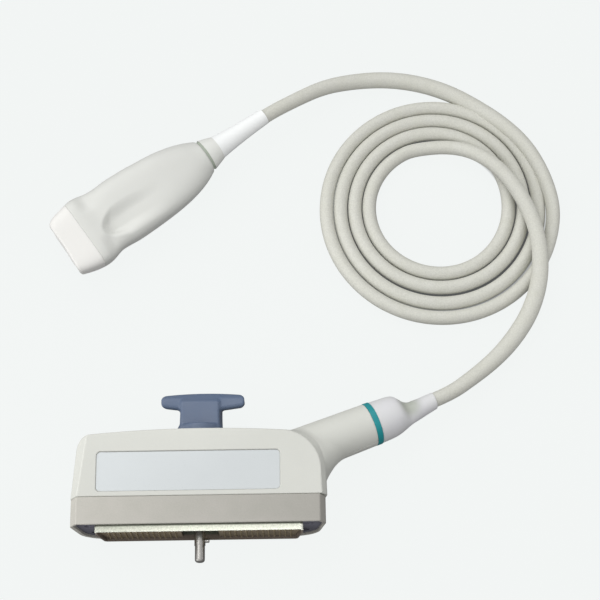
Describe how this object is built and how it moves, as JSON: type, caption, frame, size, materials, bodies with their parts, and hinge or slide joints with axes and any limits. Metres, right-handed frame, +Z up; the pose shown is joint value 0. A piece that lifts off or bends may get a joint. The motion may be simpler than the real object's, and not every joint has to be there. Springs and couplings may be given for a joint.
{
  "type": "ultrasound transducer probe",
  "caption": "Phased-array ultrasound handpiece on a coiled cable that ends in a flat multi-pin system connector with a quarter-turn T-handle lock.",
  "frame": {"origin": "on the table surface, under the middle of the box of the handpiece and connector without the cable", "axes": "+Z up from the table to the label face, +Y from the mating face of the connector towards its T-handle, +X along the connector's long side towards the cable spout"},
  "size_m": [0.3096, 0.3102, 0.04],
  "materials": {
    "lens_rubber": "soft satin",
    "nose_plastic": "satin white",
    "grip_plastic": "fine satin",
    "epoxy": "matt",
    "piezo_ceramic": "lapped",
    "backing": "matt",
    "flex_film": "satin film",
    "circuit_board": "solder mask",
    "coax": "braided",
    "dark_plastic": "moulded",
    "seal_rubber": "matt",
    "collar_plastic": "satin",
    "boot_rubber": "soft satin",
    "spout_rubber": "soft satin",
    "cable_jacket": "fine matt texture",
    "cover_plastic": "fine spark texture",
    "band_plastic": "fine spark texture",
    "label_film": "plain film",
    "gasket_rubber": "matt",
    "plated_shell": "passivated plating",
    "insulator": "moulded",
    "gold_contact": "plated",
    "bush_brass": "turned",
    "steel": "turned and polished",
    "teal_plastic": "satin",
    "handle_plastic": "satin"
  },
  "bodies": {
    "probe": {"acoustic_lens": "lens_rubber", "nose_housing": "nose_plastic", "grip_shell_upper": "grip_plastic", "grip_shell_lower": "grip_plastic", "matching_layer": "epoxy", "piezo_array": "piezo_ceramic", "backing_block": "backing", "flex_circuit": "flex_film", "probe_board": "circuit_board", "coax_bundle_probe": "coax", "probe_cable_clamp": "dark_plastic", "tail_seal": "seal_rubber", "tail_collar": "collar_plastic", "probe_boot": "boot_rubber", "cable_lead_probe": "cable_jacket", "cable_coil": "cable_jacket", "cable_lead_connector": "cable_jacket", "front_cover": "cover_plastic", "rear_cover": "cover_plastic", "lower_band": "band_plastic", "label_plate": "label_film", "face_gasket": "gasket_rubber", "pin_shell": "plated_shell", "contact_insulators": "insulator", "contact_pins": "gold_contact", "lock_housing": "dark_plastic", "shaft_bush_lower": "bush_brass", "shaft_bush_upper": "bush_brass", "interface_board": "circuit_board", "board_standoffs": "steel", "shell_screws": "steel", "board_screws": "steel", "cover_screws": "steel", "cable_clamp": "dark_plastic", "coax_bundle_connector": "coax", "spout_ring": "teal_plastic", "connector_boot": "spout_rubber"},
    "lock": {"t_handle": "handle_plastic", "lock_shaft": "steel", "shaft_cross_pin": "steel", "shaft_clip": "steel", "handle_set_screw": "steel"}
  },
  "joints": [
    {"name": "lock_turn", "type": "hinge", "parent": "probe", "child": "lock", "pos_m": [-0.0226, -0.12225, 0.02], "axis": [0, 1, 0], "range_deg": [0, 90]}
  ]
}
